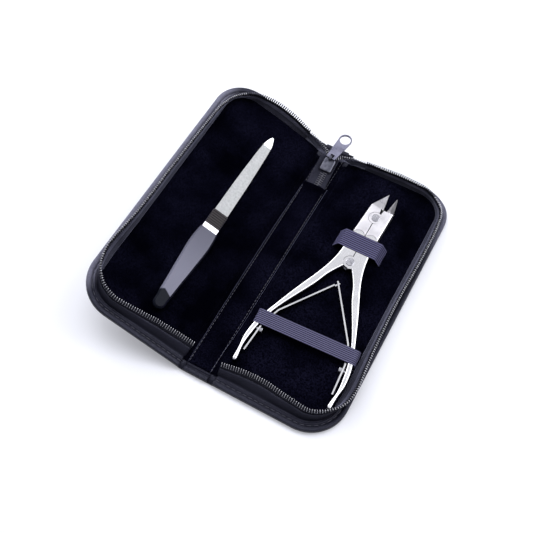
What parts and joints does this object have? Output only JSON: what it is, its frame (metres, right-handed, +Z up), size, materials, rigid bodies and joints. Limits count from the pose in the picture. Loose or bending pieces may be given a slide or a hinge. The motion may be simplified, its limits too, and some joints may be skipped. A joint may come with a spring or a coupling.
{
  "type": "manicure set case",
  "caption": "Zip-round leather case lying open, with a side nail nipper under two elastic loops on one half and a nail file in a loop on the other.",
  "frame": {"origin": "middle of the spine's underside, on the surface the open case lies on", "axes": "+X across the case towards the flat half with the nipper, +Y along the spine towards the end where the zip slider rests, +Z up"},
  "size_m": [0.1437, 0.1646, 0.0329],
  "materials": {
    "case_leather": "fine-grained, satin",
    "velvet": "short pile, matt",
    "stiffener_board": "matt",
    "zip_tape": "woven",
    "zip_teeth": "bright",
    "slider_metal": "dark nickel",
    "pull_metal": "satin",
    "elastic_grey": "ribbed elastic",
    "elastic_dark": "ribbed elastic",
    "polished_steel": "polished",
    "spring_steel": "polished",
    "screw_steel": "polished, slotted",
    "file_grit": "grit-coated",
    "ferrule_silver": "polished",
    "file_handle_plastic": "glossy"
  },
  "bodies": {
    "right_cover": {"right_cover_leather": "case_leather", "right_board": "stiffener_board", "right_lining": "velvet", "right_gusset": "case_leather", "right_zip_tape": "zip_tape", "right_zip_teeth": "zip_teeth", "nipper_upper_loop": "elastic_grey", "nipper_lower_loop": "elastic_grey"},
    "spine": {"spine_leather": "case_leather", "spine_lining": "velvet", "spine_end_trims": "case_leather", "zip_tail": "zip_tape", "left_zip_wing": "zip_teeth", "right_zip_wing": "zip_teeth"},
    "left_cover": {"left_cover_leather": "case_leather", "left_board": "stiffener_board", "left_lining": "velvet", "left_gusset": "case_leather", "left_zip_tape": "zip_tape", "left_zip_teeth": "zip_teeth", "file_loop": "elastic_dark"},
    "slider": {"zip_slider": "slider_metal"},
    "pull": {"zip_pull": "pull_metal"},
    "nipper": {"handle_screw": "screw_steel"},
    "nipper_left_handle": {"left_handle": "polished_steel", "left_link_pin": "screw_steel", "left_spring_screw": "screw_steel"},
    "nipper_right_handle": {"right_handle": "polished_steel", "right_link_pin": "screw_steel", "right_spring_screw": "screw_steel"},
    "nipper_left_jaw": {"left_jaw": "polished_steel", "jaw_screw": "screw_steel"},
    "nipper_right_jaw": {"right_jaw": "polished_steel"},
    "nipper_left_spring": {"left_spring": "spring_steel"},
    "nipper_right_spring": {"right_spring": "spring_steel"},
    "file": {"file_blade": "file_grit", "file_ferrule": "ferrule_silver", "file_handle": "file_handle_plastic"}
  },
  "joints": [
    {"name": "spine_fold", "type": "hinge", "parent": "right_cover", "child": "spine", "pos_m": [0.008, 0, 0.0006], "axis": [0, 1, 0], "range_deg": [0, 90], "deforming": ["left_zip_wing", "right_zip_wing"]},
    {"name": "left_cover_fold", "type": "hinge", "parent": "spine", "child": "left_cover", "pos_m": [-0.008, 0, 0.0006], "axis": [0, 1, 0], "range_deg": [-23.1, 66.9], "deforming": ["left_zip_wing", "right_zip_wing"]},
    {"name": "slider_travel", "type": "slide", "parent": "spine", "child": "slider", "axis": [0, 0.9613, 0.2756], "range_m": [-0.002, 0]},
    {"name": "pull_swing", "type": "hinge", "parent": "slider", "child": "pull", "pos_m": [0.0013, 0.06653, 0.0099], "axis": [0.9903, -0.1392, 0], "range_deg": [0, 160]},
    {"name": "nipper_slide", "type": "slide", "parent": "right_cover", "child": "nipper", "axis": [0, 1, 0], "range_m": [0, 0.002]},
    {"name": "left_handle_squeeze", "type": "hinge", "parent": "nipper", "child": "nipper_left_handle", "pos_m": [0.04, 0.0124, 0.0049], "axis": [0, 0, 1], "range_deg": [0, 6.3], "stiffness_Nm_per_rad": 0.3},
    {"name": "right_handle_squeeze", "type": "hinge", "parent": "nipper", "child": "nipper_right_handle", "pos_m": [0.04, 0.0124, 0.0049], "axis": [0, 0, 1], "range_deg": [-6.3, 0]},
    {"name": "left_jaw_pivot", "type": "hinge", "parent": "nipper_left_handle", "child": "nipper_left_jaw", "pos_m": [0.0364, 0.0294, 0.0049], "axis": [0, 0, 1], "range_deg": [-13.8, 0]},
    {"name": "right_jaw_pivot", "type": "hinge", "parent": "nipper_right_handle", "child": "nipper_right_jaw", "pos_m": [0.0436, 0.0294, 0.0049], "axis": [0, 0, 1], "range_deg": [0, 13.8]},
    {"name": "left_spring_flex", "type": "hinge", "parent": "nipper_left_handle", "child": "nipper_left_spring", "pos_m": [0.01655, -0.0438, 0.0049], "axis": [0, 0, 1], "range_deg": [0, 2]},
    {"name": "right_spring_flex", "type": "hinge", "parent": "nipper_right_handle", "child": "nipper_right_spring", "pos_m": [0.06345, -0.0438, 0.0049], "axis": [0, 0, 1], "range_deg": [-2, 0]},
    {"name": "file_slide", "type": "slide", "parent": "left_cover", "child": "file", "axis": [0, 1, 0], "range_m": [-0.006, 0]}
  ],
  "couplings": [
    {"joint": "right_handle_squeeze", "follows": "left_handle_squeeze", "ratio": -1},
    {"joint": "left_jaw_pivot", "follows": "left_handle_squeeze", "ratio": -2.18},
    {"joint": "right_jaw_pivot", "follows": "left_handle_squeeze", "ratio": 2.18},
    {"joint": "left_spring_flex", "follows": "left_handle_squeeze", "ratio": 0.309},
    {"joint": "right_spring_flex", "follows": "left_handle_squeeze", "ratio": -0.309}
  ]
}
